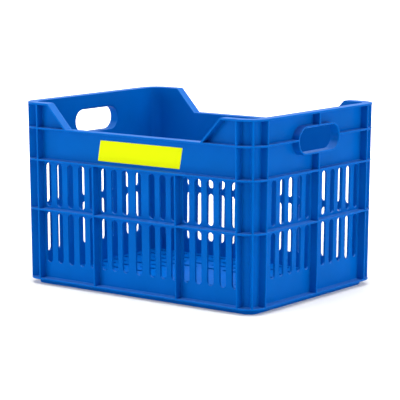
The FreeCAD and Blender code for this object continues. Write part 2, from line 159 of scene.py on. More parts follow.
class CrateOpenings(bpy.types.PropertyGroup):
    """Sizes of the slots, the slits and the hand-holds."""

    slot_width: size("Slot width", "Width of a wall slot", 10.2)
    slot_gap: size("Slot gap", "Plain wall between a slot and a ring", 3.0)
    long_base_band: size("Long base band", "Plain wall above the flange on the long sides", 21.6)
    end_base_band: size("End base band", "Plain wall above the flange on the ends", 31.7)
    centre_bar: size("Centre bar", "Bar on each side of the centre slot", 12.8)
    side_slots: count("Side bay slots", "Slots in a side bay", 5)
    middle_slots: count("Middle bay slots", "Slots on each side of the centre slot", 3)
    end_slots: count("End slots", "Slots in each half of an end wall", 6)
    grip_length: size("Grip length", "Length of a hand-hold", 93.4)
    grip_height: size("Grip height", "Height of a hand-hold", 33.0)
    grip_drop: size("Grip drop", "From the shoulder ring's middle to a hand-hold's", 1.7)
    collar_wall: size("Collar wall", "Thickness of the collar round a hand-hold", 2.6)
    floor_low: size("Floor level", "Underside of the floor", 7.6)
    floor_thickness: size("Floor thickness", "Thickness of the floor", 3.0)
    slit_width: size("Slit width", "Width of a floor slit", 7.0)
    slit_bridge: size("Slit bridge", "Bridge between two slits of a row", 9.0)
    slit_end_gap: size("Slit end gap", "From the last slit to the end of the floor", 2.8)
    slit_side_gap: size("Slit side gap", "From the last row to the side of the floor", 7.8)
    slit_columns: count("Slit columns", "Slit columns in each half of the floor", 5)
    slit_rows: count("Slit rows", "Slit rows on each side of the middle row", 5)
    plate_columns: count("Plate columns", "Columns in each half that the plain plate takes", 2)
    plate_rows: count("Plate rows", "Rows on each side that the plain plate takes", 1)


class CrateEdges(bpy.types.PropertyGroup):
    """Roundings that the mould leaves on the plastic."""

    lip_round: size("Lip rounding", "Radius on the outer edges of ribs and rims", 0.55)
    root_round: size("Root rounding", "Hollow radius where a rib leaves the wall", 0.9)
    slot_round: size("Slot rounding", "Radius on the edges of slots and slits", 0.3)
    wall_round: size("Wall rounding", "Radius on the free edges of a wall", 0.8)
    mouth_round: size("Mouth rounding", "Radius on the mouth of a hand-hold's collar", 1.3)
    foot_round: size("Foot rounding", "Radius on the edges of the foot", 0.9)
    root_depth: size("Root depth", "How far a rib is rooted in the wall behind it", 0.5)
    set_back: size("Set back", "How far an upright's face lies behind the rings' faces", 0.06)


class CrateFinish(bpy.types.PropertyGroup):
    """Colours of the crate and its label, and the size of the label."""

    plastic: tint("Plastic", "Pigment of the crate", "#0061BC")
    plastic_deep: tint("Plastic, deep", "Pigment where the melt ran thicker", "#005CB3")
    # a paler colour painted on what faces up: a painted sheen
    plastic_painted_sheen: tint("Plastic, scuffed", "Pigment on what faces up", "#2B6ABC")
    film: tint("Label film", "Colour of the label's face", "#E4F100")
    film_edge: tint("Label film edge", "Colour of the film's cut edge", "#E9EDC4")
    label_length: size("Label length", "Length of the label", 139.5)
    label_height: size("Label height", "Height of the label", 28.4)
    label_lean: size("Label lean", "How far the label's top is shifted along the wall", 5.3)
    label_thickness: size("Label thickness", "Thickness of the label's film", 0.4)
    label_corner: size("Label corner", "Radius of the label's corners", 0.8)
    label_offset: size("Label offset", "Middle of the label from the middle of the wall", 3.4)
    label_rise: size("Label rise", "From the upper ring to the label", 4.4)


class CrateStage(bpy.types.PropertyGroup):
    """The floor, the light and the camera."""

    floor_tint: tint("Floor", "Colour of the studio floor", "#F4F4F4")
    floor_half: size("Floor half", "Half the side of the floor", 9000.0)
    azimuth: angle("Azimuth", "Turn of the camera from straight in front", 37.02)
    elevation: angle("Elevation", "Height of the camera as an angle", 8.77)
    roll: angle("Roll", "Roll of the camera about its own axis", 0.038)
    distance: size("Distance", "From the camera to the point it looks at", 2630.0)
    aim: FloatVectorProperty(
        name="Aim",
        description="The point that the camera looks at",
        default=(0.345 * MM, 0.368 * MM, 117.185 * MM),
        subtype="XYZ",
        unit="LENGTH",
    )
    focal_length: FloatProperty(
        name="Focal length",
        description="Focal length in millimetres on a 36 mm sensor",
        default=169.70,
        subtype="DISTANCE_CAMERA",
    )


GROUPS = {
    "crate_form": CrateForm,
    "crate_openings": CrateOpenings,
    "crate_edges": CrateEdges,
    "crate_finish": CrateFinish,
    "crate_stage": CrateStage,
}


class Plan:
    """The sizes as they stand, and the places worked out from them."""

    def __init__(self):
        scene = bpy.context.scene
        self.form = form = scene.crate_form
        self.openings = openings = scene.crate_openings
        self.edges = scene.crate_edges
        self.finish = scene.crate_finish
        self.stage = scene.crate_stage
        self.half_length = form.length / 2
        self.half_width = form.width / 2
        self.flange_top = form.flange_low + form.rib_thickness
        self.shoulder_top = form.height - form.shoulder_drop
        self.shoulder_low = self.shoulder_top - form.rib_thickness
        self.upper_top = self.shoulder_low - form.band_height
        self.upper_low = self.upper_top - form.rib_thickness
        self.mid_low = self.upper_low - form.ring_spacing
        self.mid_top = self.mid_low + form.rib_thickness
        self.rim_low = form.height - form.rim_thickness
        self.long_corner = self.half_length - form.long_corner_inset
        self.end_corner = self.half_width - form.end_corner_inset
        self.long_seam = self.long_corner - form.seam_inset
        self.end_seam = self.end_corner - form.seam_inset
        self.dip_top = self.long_corner - form.shoulder_run
        self.dip_foot = self.dip_top - form.slope_run
        self.grip_level = self.shoulder_top - form.rib_thickness / 2 - openings.grip_drop
        self.skin_radius = form.corner_radius - form.rib_depth
        # half the length and width of the inside at the rim
        self.cavity_x = self.half_length - form.rib_depth - form.wall_thickness
        self.cavity_y = self.half_width - form.rib_depth - form.wall_thickness
        # the corners turn round these centres at every level
        self.centre_x = self.half_length - form.corner_radius
        self.centre_y = self.half_width - form.corner_radius

    def lean(self, level):
        """How far the walls stand in at a level, beside where they are at the rim."""
        return self.form.draft * (1 - level / self.form.height)

    def lean_in(self, shape):
        """Moves a mesh's points in by the lean at their height, straight or round a corner."""
        for vertex in shape.vertices:
            spot = vertex.co
            beyond_x = max(abs(spot.x) - self.centre_x, 0.0)
            beyond_y = max(abs(spot.y) - self.centre_y, 0.0)
            inwards = Vector((beyond_x, beyond_y)).normalized() * self.lean(spot.z)
            spot.x -= math.copysign(inwards.x, spot.x)
            spot.y -= math.copysign(inwards.y, spot.y)

    def skin(self, level=None):
        """Half the length and half the width of the walls' outer face at a level."""
        inset = self.form.rib_depth + (0 if level is None else self.lean(level))
        return self.half_length - inset, self.half_width - inset


# ------------------------ nodes

def add_node(tree, kind, inputs=None, **settings):
    """Adds a node with its settings, values and links.

    An input is a value, an output of another node, a node for its first output, or a list.
    """
    node = tree.nodes.new(kind)
    for name, setting in settings.items():
        setattr(node, name, setting)
    for key, given in (inputs or {}).items():
        for source in given if isinstance(given, list) else [given]:
            if isinstance(source, bpy.types.Node):
                source = source.outputs[0]
            if isinstance(source, bpy.types.NodeSocket):
                tree.links.new(source, node.inputs[key])
            else:
                node.inputs[key].default_value = source
    return node


def rounded_curve(add, mesh):
    """An edge chain as a curve, with each corner rounded by its own radius."""
    steps, radius = (
        add("GeometryNodeInputNamedAttribute", {"Name": name}, data_type=kind)
        for name, kind in (("steps", "INT"), ("round", "FLOAT"))
    )
    curve = add("GeometryNodeMeshToCurve", {"Mesh": mesh})
    corners = {"Curve": curve, "Count": steps, "Radius": radius}
    return add("GeometryNodeFilletCurve", corners, mode="POLY")


def filled_and_raised(add, curves, rise):
    """A closed slab from flat curves, raised by this much along Z."""
    face = add("GeometryNodeFillCurve", {"Curve": curves}, mode="NGONS")
    way = add("ShaderNodeCombineXYZ", {"Z": rise})
    raised = add(
        "GeometryNodeExtrudeMesh", {"Mesh": face, "Offset": way, "Individual": False}, mode="FACES"
    )
    under = add("GeometryNodeFlipFaces", {"Mesh": face})
    slab = add("GeometryNodeJoinGeometry", {"Geometry": [raised, under]})
    return add("GeometryNodeMergeByDistance", {"Geometry": slab, "Distance": SAME_POINT})


def slotted_plate(add, given, outline):
    """A plate with oblong holes: one hole for each starting point."""
    # what each point says of its hole; end is which end of the hole a corner belongs to
    gauge, reach, turn, end = (
        add("GeometryNodeInputNamedAttribute", {"Name": name}, data_type="FLOAT")
        for name in ("gauge", "reach", "turn", "end")
    )
    # a hole is drawn one wide and two long, and is stretched to its own length once in place
    square = add("GeometryNodeCurvePrimitiveQuadrilateral", {"Width": 1.0, "Height": 2.0})
    ends = {"Curve": square, "Count": given["Hole Steps"], "Radius": 0.5}
    oblong = add("GeometryNodeFilletCurve", ends, mode="POLY")
    parts = add("ShaderNodeSeparateXYZ", {"Vector": add("GeometryNodeInputPosition")})
    which_end = add("ShaderNodeMath", {0: parts.outputs["Y"]}, operation="SIGN")
    marked = add(
        "GeometryNodeStoreNamedAttribute",
        {"Geometry": oblong, "Name": "end", "Value": which_end},
        data_type="FLOAT",
        domain="POINT",
    )
    holes = add(
        "GeometryNodeInstanceOnPoints",
        {
            "Points": given["Start"],
            "Instance": marked,
            "Rotation": add("ShaderNodeCombineXYZ", {"Z": turn}),
            "Scale": add("ShaderNodeCombineXYZ", {"X": gauge, "Y": gauge, "Z": gauge}),
        },
    )
    loose = add("GeometryNodeRealizeInstances", {"Geometry": holes})
    half = add("ShaderNodeMath", {0: reach, 1: 0.5}, operation="MULTIPLY")
    pull = add("ShaderNodeMath", {0: half, 1: gauge}, operation="SUBTRACT")
    signed = add("ShaderNodeMath", {0: pull, 1: end}, operation="MULTIPLY")
    along = add("ShaderNodeCombineXYZ", {"Y": signed})
    turned = add("ShaderNodeVectorRotate", {"Vector": along, "Angle": turn}, rotation_type="Z_AXIS")
    stretched = add("GeometryNodeSetPosition", {"Geometry": loose, "Offset": turned})
    curves = add("GeometryNodeJoinGeometry", {"Geometry": [outline, stretched]})
    return filled_and_raised(add, curves, given["Thickness"])


def rib_run(add, given, section):
    """A rib whose section follows a path; level paths keep the section upright."""
    path = rounded_curve(add, given["Start"])
    upright = add("GeometryNodeSetCurveNormal", {"Curve": path}, mode="Z_UP")
    # along a path that runs anticlockwise, x of the section points out and y points down
    right_way_up = add("GeometryNodeTransform", {"Geometry": section, "Scale": (1.0, -1.0, 1.0)})
    swept = add(
        "GeometryNodeCurveToMesh",
        {"Curve": upright, "Profile Curve": right_way_up, "Fill Caps": True},
    )
    return add("GeometryNodeMergeByDistance", {"Geometry": swept, "Distance": SAME_POINT})


def upright_ribs(add, given, section):
    """Upright ribs: one for each starting point, as tall as the point says."""
    turn, rise = (
        add("GeometryNodeInputNamedAttribute", {"Name": name}, data_type="FLOAT")
        for name in ("turn", "rise")
    )
    return add(
        "GeometryNodeInstanceOnPoints",
        {
            "Points": given["Start"],
            "Instance": filled_and_raised(add, section, 1.0),
            "Rotation": add("ShaderNodeCombineXYZ", {"Z": turn}),
            "Scale": add("ShaderNodeCombineXYZ", {"X": 1.0, "Y": 1.0, "Z": rise}),
        },
    )


# what each tree makes of its start and its flat guide, and the inputs that it alone has
TREES = {
    "slotted plate": (slotted_plate, (("Thickness", "Float"), ("Hole Steps", "Int"))),
    "rib run": (rib_run, ()),
    "uprights": (upright_ribs, ()),
}


def tree_named(name):
    """A geometry tree, made the first time it is asked for; it ends in plain geometry."""
    made = bpy.data.node_groups.get(name)
    if made:
        return made
    shape, own_inputs = TREES[name]
    tree = bpy.data.node_groups.new(name, "GeometryNodeTree")
    inputs = (("Start", "Geometry"), ("Guide", "Object"), *own_inputs, ("Finish", "Material"))
    for label, kind in inputs:
        tree.interface.new_socket(label, in_out="INPUT", socket_type="NodeSocket" + kind)
    tree.interface.new_socket("Piece", in_out="OUTPUT", socket_type="NodeSocketGeometry")
    add = partial(add_node, tree)
    given = add("NodeGroupInput").outputs
    guide = add("GeometryNodeObjectInfo", {"Object": given["Guide"]}).outputs["Geometry"]
    plain = add(
        "GeometryNodeRealizeInstances", {"Geometry": shape(add, given, rounded_curve(add, guide))}
    )
    finished = add("GeometryNodeSetMaterial", {"Geometry": plain, "Material": given["Finish"]})
    add("NodeGroupOutput", {"Piece": finished})
    return tree


# ------------------------ meshes

# roundings up to the first radius are small, and from the second on large
SMALL_ROUND = 1.5 * MM
LARGE_ROUND = 8.0 * MM
# the straight steps of a small, a middling and a large rounding, and of a bevelled edge
SMALL_STEPS, MIDDLE_STEPS, LARGE_STEPS = 2, 5, 14
EDGE_STEPS = 2
# the bevel's setting for a plain arc
ROUND_PROFILE = 0.5
# the straight steps of a quarter turn at the end of a slot, and of a slit
SLOT_STEPS = 4
SLIT_STEPS = 3
QUARTER = math.radians(90)
# an edge that turns by more than the first is rounded, and by more than the second shaded sharp
ROUNDED_TURN = math.radians(35)
SHARP_TURN = math.radians(50)
# the numbers that a tree reads from the points it starts from
STORED = ("round", "steps", "gauge", "reach", "turn", "rise", "end")


def steps_for(radius):
    """How many straight steps stand for a rounding of this radius."""
    if radius <= SMALL_ROUND:
        return SMALL_STEPS
    return MIDDLE_STEPS if radius < LARGE_ROUND else LARGE_STEPS


def start_mesh(name, points, edges=(), **fields):
    """Points, and edges between them, for a tree to start from, with numbers on the points."""
    mesh = bpy.data.meshes.new(name)
    mesh.from_pydata([tuple(point) for point in points], list(edges), [])
    for label, numbers in fields.items():
        kind = "INT" if label == "steps" else "FLOAT"
        layer = mesh.attributes.new(label, kind, "POINT")
        layer.data.foreach_set("value", list(numbers))
    return mesh


def chain(name, runs, closed):
    """Edge chains through corners given as (x, y, z, rounding)."""
    points, edges, rounds = [], [], []
    for corners in runs:
        first = len(points)
        points += [corner[:3] for corner in corners]
        rounds += [corner[3] for corner in corners]
        edges += [(n, n + 1) for n in range(first, len(points) - 1)]
        if closed:
            edges.append((len(points) - 1, first))
    return start_mesh(name, points, edges, round=rounds, steps=[steps_for(r) for r in rounds])


def flat_loop(name, corners):
    """A closed flat outline from corners given as (x, y, rounding)."""
    return chain(name, [[(x, y, 0.0, rounding) for x, y, rounding in corners]], True)


def new_object(name, data):
    """A new object in the scene."""
    item = bpy.data.objects.new(name, data)
    bpy.context.scene.collection.objects.link(item)
    return item


def settle(piece):
    """Gives a piece the plain mesh that its modifiers make."""
    graph = bpy.context.evaluated_depsgraph_get()
    shape = bpy.data.meshes.new_from_object(piece.evaluated_get(graph), depsgraph=graph)
    piece.modifiers.clear()
    piece.data = shape


def grow(name, start, tree_name, guide, finish=None, values=None):
    """Runs a tree on a starting mesh, and returns its result as a plain mesh object.

    guide is the corners of the tree's flat outline or section, as (x, y, rounding). Without a
    finish the piece is made of the crate's plastic.
    """
    piece = new_object(name, start)
    helper = new_object(name + "_guide", flat_loop(name + "_guide", guide))
    modifier = piece.modifiers.new("shape", "NODES")
    modifier.node_group = tree_named(tree_name)
    given = {"Guide": helper, "Finish": finish or moulded_polypropylene(), **(values or {})}
    for socket in modifier.node_group.interface.items_tree:
        if socket.in_out == "INPUT" and socket.name in given:
            modifier[socket.identifier] = given[socket.name]
    settle(piece)
    bpy.data.objects.remove(helper)
    if not piece.data.polygons:
        raise RuntimeError(name + " has no faces")
    # the tree leaves an empty slot in front of the finish
    if piece.data.materials[0] is None:
        piece.data.materials.pop(index=0)
    return piece


def finish_mesh(piece, *roundings):
    """Rounds a piece's edges and turns its faces outwards.

    A rounding is a radius, and a function that is given the middle of each sharp edge lying on
    a level and says whether to round it.
    """
    work = bmesh.new()
    work.from_mesh(piece.data)
    for radius, chosen in roundings:
        edges = []
        for edge in work.edges:
            first, second = (vertex.co for vertex in edge.verts)
            sharp = len(edge.link_faces) == 2 and edge.calc_face_angle() > ROUNDED_TURN
            if sharp and abs(first.z - second.z) < NEAR and chosen((first + second) / 2):
                edges.append(edge)
        bmesh.ops.bevel(
            work,
            geom=edges,
            offset=radius,
            offset_type="OFFSET",
            segments=EDGE_STEPS,
            profile=ROUND_PROFILE,
            affect="EDGES",
            clamp_overlap=False,
            material=-1,
        )
    bmesh.ops.recalc_face_normals(work, faces=work.faces)
    work.to_mesh(piece.data)
    work.free()


def stand(piece, plan, turn, distance):
    """Stands a flat piece on its wall: turn 0 is the front, and z 0 comes to distance."""
    standing = Matrix.Translation((0, -distance, 0)) @ Matrix.Rotation(QUARTER, 4, "X")
    piece.data.transform(Matrix.Rotation(turn, 4, "Z") @ standing)
    plan.lean_in(piece.data)


def smooth(piece):
    """Smooth shading that keeps flat faces flat and real corners sharp."""
    piece.data.shade_smooth()
    piece.data.set_sharp_from_angle(angle=SHARP_TURN)
    piece.modifiers.new("weights", "WEIGHTED_NORMAL").keep_sharp = True
    settle(piece)
    piece.data.name = piece.name


def hand_over(piece, slot, *nodes):
    """Smooths a finished piece and gives it its place on the frame."""
    attributes = piece.data.attributes
    for label in STORED:
        if label in attributes:
            attributes.remove(attributes[label])
    smooth(piece)
    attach(piece, BODY)
    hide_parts(*nodes)


# ------------------------ materials

# a noise seldom leaves this part of its range
NOISE_LOW, NOISE_HIGH = 0.3, 0.7
NOISE_DETAIL, CLOUD_DETAIL = 2.0, 3.0
NOISE_ROUGHNESS = 0.55
PIGMENT_CLOUD = 60 * MM
# how steeply a face has to look up before it gets the painted sheen, and before it gets it in full
PAINTED_SHEEN_FROM, PAINTED_SHEEN_TO = 0.35, 0.65
# the film's face looks towards the front, and its cut edge doesn't
FILM_FACE = -0.9

# relief is the size, strength and height of each layer, the broad one first; patches is the size
# and the two ends of the roughness
PLASTIC_LOOK = {
    # cooling leaves flat faces out of true over some 25 mm; the tool's spark grain is about
    # 0.08 mm, and it is drawn at 0.9 mm so that it shows at all
    "relief": ((25 * MM, 0.35, 0.25 * MM), (0.9 * MM, 0.25, 0.04 * MM)),
    # handling polishes small patches
    "patches": (6 * MM, 0.28, 0.33),
    "ior": 1.49,
    # the even grain breaks up nearly all of the gloss that smooth plastic would have
    "gloss": 0.015,
}
FILM_LOOK = {
    # the clear coat's orange peel is about 1.5 mm across
    "relief": ((1.5 * MM, 0.2, 0.03 * MM),),
    # the print dries a little unevenly
    "patches": (4 * MM, 0.34, 0.40),
    "ior": 1.5,
    # a matt clear coat has a low, broad gloss
    "gloss": 0.03,
}


def start_material(name):
    """An empty node material, what adds a node to it, and its object coordinates."""
    material = bpy.data.materials.new(name)
    material.use_nodes = True
    material.node_tree.nodes.clear()
    add = partial(add_node, material.node_tree)
    return material, add, add("ShaderNodeTexCoord").outputs["Object"]


def grain(place, across, detail=NOISE_DETAIL):
    """What a noise of about this size is given."""
    return {
        "Vector": place,
        "Scale": 1 / across,
        "Detail": detail,
        "Roughness": NOISE_ROUGHNESS,
    }


def patchy(add, place, across, low, high, detail=NOISE_DETAIL):
    """A number that wanders between two ends in patches of about this size."""
    noise = add("ShaderNodeTexNoise", grain(place, across, detail))
    return add(
        "ShaderNodeMapRange",
        {
            "Value": noise,
            "From Min": NOISE_LOW,
            "From Max": NOISE_HIGH,
            "To Min": low,
            "To Max": high,
        },
    )


def close_material(add, place, colour, look):
    """Ends a material: its colour on a surface with the relief, roughness and gloss of a look."""
    normal = {}
    for across, strength, height in look["relief"]:
        noise = add("ShaderNodeTexNoise", grain(place, across))
        bump = {"Height": noise, "Strength": strength, "Distance": height, **normal}
        normal = {"Normal": add("ShaderNodeBump", bump)}
    surface = add(
        "ShaderNodeBsdfPrincipled",
        {
            "Base Color": colour.outputs["Result"],
            "Roughness": patchy(add, place, *look["patches"]),
            "IOR": look["ior"],
            "Specular IOR Level": look["gloss"],
            **normal,
        },
    )
    add("ShaderNodeOutputMaterial", {"Surface": surface})


def moulded_polypropylene(with_painted_sheen=True):
    """Polypropylene, injection moulded in a spark-eroded tool.

    A satin, deeply coloured plastic with next to no gloss and a very fine even grain. What faces up
    is painted a little paler: a painted sheen, standing in for the pale sheen that light gives
    along upward faces.
    """
    name = "moulded polypropylene" if with_painted_sheen else "moulded polypropylene, unscuffed"
    made = bpy.data.materials.get(name)
    if made:
        return made
    finish = bpy.context.scene.crate_finish
    material, add, place = start_material(name)
    # the melt's pigment clouds are barely seen
    clouds = patchy(add, place, PIGMENT_CLOUD, 0.0, 1.0, CLOUD_DETAIL)
    colour = add(
        "ShaderNodeMix",
        {"Factor": clouds, "A": tuple(finish.plastic), "B": tuple(finish.plastic_deep)},
        data_type="RGBA",
    )
    if with_painted_sheen:
        # painted sheen: what faces up is painted a little paler and greyer, standing in for the
        # sheen that light gives it
        facing = add("ShaderNodeNewGeometry").outputs["Normal"]
        upward = add("ShaderNodeSeparateXYZ", {"Vector": facing}).outputs["Z"]
        share = add(
            "ShaderNodeMapRange", {"Value": upward, "From Min": PAINTED_SHEEN_FROM, "From Max": PAINTED_SHEEN_TO}
        )
        pigment = colour.outputs["Result"]
        colour = add(
            "ShaderNodeMix",
            {"Factor": share, "A": pigment, "B": tuple(finish.plastic_painted_sheen)},
            data_type="RGBA",
        )
    close_material(add, place, colour, PLASTIC_LOOK)
    return material


def vinyl_film():
    """Self-adhesive vinyl, screen printed in one colour under a matt clear coat.

    A flat bright colour with a low even gloss, and a paler cut edge.
    """
    finish = bpy.context.scene.crate_finish
    material, add, place = start_material("printed vinyl film")
    outward = add("ShaderNodeNewGeometry").outputs["True Normal"]
    backward = add("ShaderNodeSeparateXYZ", {"Vector": outward}).outputs["Y"]
    facing = add("ShaderNodeMath", {0: backward, 1: FILM_FACE}, operation="LESS_THAN")
    ink = add(
        "ShaderNodeMix",
        {"Factor": facing, "A": tuple(finish.film_edge), "B": tuple(finish.film)},
        data_type="RGBA",
    )
    close_material(add, place, ink, FILM_LOOK)
    return material


# ------------------------ the skin

# the turn that takes what is drawn for the front to each side
LONG_SIDES = {"front": 0.0, "back": 2 * QUARTER}
END_SIDES = {"right": QUARTER, "left": 3 * QUARTER}


def rectangle(half_x, half_y):
    """The corners of a rectangle round the middle, anticlockwise from the lower left."""
    return [(-half_x, -half_y), (half_x, -half_y), (half_x, half_y), (-half_x, half_y)]


def plate(name, outline, holes, thickness, hole_steps=SLOT_STEPS, finish=None):
    """A flat plate with oblong holes given as (x, y, length, width, turn)."""
    start = start_mesh(
        name,
        [(x, y, 0.0) for x, y, *_ in holes],
        reach=[hole[2] for hole in holes],
        gauge=[hole[3] for hole in holes],
        turn=[hole[4] for hole in holes],
    )
    values = {"Thickness": thickness, "Hole Steps": hole_steps}
    return grow(name, start, "slotted plate", outline, finish, values)


def slot_rows(plan, base_band, columns):
    """The lower and the upper slots of a wall, one pair for each column."""
    openings = plan.openings
    spans = (
        (plan.flange_top + base_band, plan.mid_low - openings.slot_gap),
        (plan.mid_top + openings.slot_gap, plan.upper_low - openings.slot_gap),
    )
    return [
        (x, (low + high) / 2, high - low, openings.slot_width, 0.0)
        for x in columns
        for low, high in spans
    ]


def mirrored(places):
    """The places, and the same on the other side of the middle."""
    return [-place for place in reversed(places)] + list(places)


def long_columns(plan):
    """Where the slots of a long wall stand."""
    openings = plan.openings
    pitch = (plan.long_corner - plan.form.bay_upright) / openings.side_slots
    outer = [plan.form.bay_upright + pitch * (n + 0.5) for n in range(openings.side_slots)]
    first = openings.slot_width + openings.centre_bar
    step = (plan.form.bay_upright - pitch / 2 - first) / (openings.middle_slots - 1)
    middle = [first + step * n for n in range(openings.middle_slots)]
    return mirrored(middle + outer) + [0.0]


def end_columns(plan):
    """Where the slots of an end wall stand."""
    pitch = plan.end_corner / plan.openings.end_slots
    return mirrored([pitch * (n + 0.5) for n in range(plan.openings.end_slots)])


def round_plate(piece, plan, seam):
    """Rounds a wall's free edges: its slots, its foot and its inner top edges."""
    edges = plan.edges
    inner_half = plan.form.wall_thickness / 2

    def free(spot, low, high):
        return abs(spot.x) < seam - NEAR and low < spot.y < high

    def is_inner_top(spot):
        top = plan.form.height + NEAR
        return spot.z < inner_half and free(spot, plan.shoulder_top - NEAR, top)

    finish_mesh(
        piece,
        (edges.slot_round, lambda spot: free(spot, NEAR, plan.upper_low)),
        (edges.foot_round, lambda spot: spot.y < NEAR),
        (edges.wall_round, is_inner_top),
    )


def cut_wall(plan, side, outline, holes, seam, turn, distance):
    """A slotted wall cut from a flat outline, rounded and stood on its side of the crate."""
    piece = plate(side + "_wall", outline, holes, plan.form.wall_thickness)
    round_plate(piece, plan, seam)
    stand(piece, plan, turn, distance)
    return piece


def make_long_wall(plan, side):
    """A front or back wall with both its shoulders, lowered between them."""
    form = plan.form
    seam = plan.long_seam
    outline = [
        (seam, 0.0, 0.0),
        (seam, form.height, 0.0),
        (plan.dip_top - form.dip_shift, form.height, form.slope_round),
        (plan.dip_foot - form.dip_shift, plan.shoulder_top, 0.0),
        (-plan.dip_foot - form.dip_shift, plan.shoulder_top, 0.0),
        (-plan.dip_top - form.dip_shift, form.height, form.slope_round),
        (-seam, form.height, 0.0),
        (-seam, 0.0, 0.0),
    ]
    holes = slot_rows(plan, plan.openings.long_base_band, long_columns(plan))
    piece = cut_wall(plan, side, outline, holes, seam, LONG_SIDES[side], plan.cavity_y)
    shoulders = (side + "_left_shoulder", side + "_right_shoulder")
    hand_over(piece, PLASTIC_SLOT, side + "_wall", *shoulders)


def make_end_wall(plan, side):
    """A left or right wall, slotted below and plain above, open for the hand-hold."""
    form = plan.form
    openings = plan.openings
    seam = plan.end_seam
    outline = [(x, y + form.height / 2, 0.0) for x, y in rectangle(seam, form.height / 2)]
    holes = slot_rows(plan, openings.end_base_band, end_columns(plan))
    # the hand-hold's own collar lines this hole and stands in half its thickness
    length = openings.grip_length + openings.collar_wall
    height = openings.grip_height + openings.collar_wall
    grip = (0.0, plan.grip_level, length, height, QUARTER)
    holes.append(grip)
    piece = cut_wall(plan, side, outline, holes, seam, END_SIDES[side], plan.cavity_x)
    hand_over(piece, PLASTIC_SLOT, side + "_wall", side + "_handle_panel")


def make_corner(plan, side, end):
    """A rounded corner of the skin from the foot to the rim."""
    form = plan.form
    across = -1 if side == "front" else 1
    along = -1 if end == "left" else 1
    half_x, half_y = plan.skin()
    corners = [
        (along * plan.long_seam, across * half_y, 0.0, 0.0),
        (along * half_x, across * half_y, 0.0, plan.skin_radius),
        (along * half_x, across * plan.end_seam, 0.0, 0.0),
    ]
    if across * along > 0:
        corners.reverse()
    thickness = form.wall_thickness
    section = [
        (-thickness, 0.0, plan.edges.foot_round),
        (0.0, 0.0, plan.edges.foot_round),
        (0.0, form.height, 0.0),
        (-thickness, form.height, plan.edges.wall_round),
    ]
    name = f"{side}_{end}_corner"
    run_rib(name, [corners], False, section, lambda piece: plan.lean_in(piece.data))


# ------------------------ ribs and rims

def rib_section(plan, thickness, flush=False, set_back=0.0):
    """A rib's section: x out from the wall, y up; flush keeps its top level at y 0."""
    edges = plan.edges
    depth = plan.form.rib_depth - set_back
    top = 0.0 if flush else thickness / 2
    low = top - thickness
    root = [
        (-edges.root_depth, low - edges.root_round, 0.0),
        (0.0, low - edges.root_round, 0.0),
        (0.0, low, edges.root_round),
        (depth, low, edges.lip_round),
        (depth, top, edges.lip_round),
    ]
    if flush:
        return root + [
            (0.0, top, 0.0),
            (0.0, top - edges.root_depth, 0.0),
            (-edges.root_depth, top - edges.root_depth, 0.0),
        ]
    return root + [
        (0.0, top, edges.root_round),
        (0.0, top + edges.root_round, 0.0),
        (-edges.root_depth, top + edges.root_round, 0.0),
    ]


def run_rib(name, paths, closed, section, place=None):
    """A rib along paths, put in its place and handed over as one piece."""
    piece = grow(name, chain(name, paths, closed), "rib run", section)
    if place:
        place(piece)
    finish_mesh(piece)
    hand_over(piece, PLASTIC_SLOT, name)


def make_ring(plan, name, low):
    """A closed ring round the whole skin."""
    level = low + plan.form.rib_thickness / 2
    radius = plan.skin_radius - plan.lean(level)
    path = [(x, y, level, radius) for x, y in rectangle(*plan.skin(level))]
    run_rib(name, [path], True, rib_section(plan, plan.form.rib_thickness))


def half_turned(path):
    """The same path on the other side of the crate."""
    return [(-x, -y, z, rounding) for x, y, z, rounding in path]


def make_shoulder_ring(plan):
    """The ring of the lowered edges, open at the two hand-holds."""
    level = plan.shoulder_top
    half_x, half_y = plan.skin(level)
    radius = plan.skin_radius - plan.lean(level)
    stop = (plan.openings.grip_length + plan.openings.collar_wall) / 2
    front = [
        (-half_x, -stop, level, 0.0),
        (-half_x, -half_y, level, radius),
        (half_x, -half_y, level, radius),
        (half_x, -stop, level, 0.0),
    ]
    section = rib_section(plan, plan.form.rib_thickness, flush=True)
    run_rib("shoulder_rib", [front, half_turned(front)], False, section)


def make_rim(plan, end):
    """The raised rim of one end, with a slope down to each lowered edge."""
    form = plan.form
    high_x, high_y = plan.skin(form.height)
    low_y = plan.skin(plan.shoulder_top)[1]
    # drawn for the right end, from the front's lowered edge round to the back's
    path = [
        (plan.dip_foot - form.dip_shift, -low_y, plan.shoulder_top, 0.0),
        (plan.dip_top - form.dip_shift, -high_y, form.height, form.slope_round),
        (high_x, -high_y, form.height, plan.skin_radius),
        (high_x, high_y, form.height, plan.skin_radius),
        (plan.dip_top + form.dip_shift, high_y, form.height, form.slope_round),
        (plan.dip_foot + form.dip_shift, low_y, plan.shoulder_top, 0.0),
    ]
    if end == "left":
        path = half_turned(path)
    run_rib(end + "_rim", [path], False, rib_section(plan, form.rim_thickness, flush=True))


# how far an upright reaches into the rings above and below it, as a share of their thickness
RING_SHARE = 0.4


def spans(plan, up_to_rim):
    """The clear heights between the rings, a little into the rings themselves."""
    into = plan.form.rib_thickness * RING_SHARE
    clear = [(plan.flange_top, plan.mid_low), (plan.mid_top, plan.upper_low)]
    if up_to_rim:
        clear += [(plan.upper_top, plan.shoulder_low), (plan.shoulder_top, plan.rim_low)]
    return [(low - into, high + into) for low, high in clear]


def make_uprights(plan, name, places):
    """Upright ribs at places given as (x, y, turn, low, high), handed over as one piece."""
    # for turn 0 the rib stands out towards -Y
    profile = rib_section(plan, plan.form.rib_thickness, set_back=plan.edges.set_back)
    section = [(y, -x, rounding) for x, y, rounding in profile]
    xs, ys, turns, lows, highs = zip(*places)
    rises = [high - low for low, high in zip(lows, highs)]
    start = start_mesh(name, zip(xs, ys, lows), turn=turns, rise=rises)
    piece = grow(name, start, "uprights", section)
    plan.lean_in(piece.data)
    finish_mesh(piece)
    hand_over(piece, PLASTIC_SLOT, name)


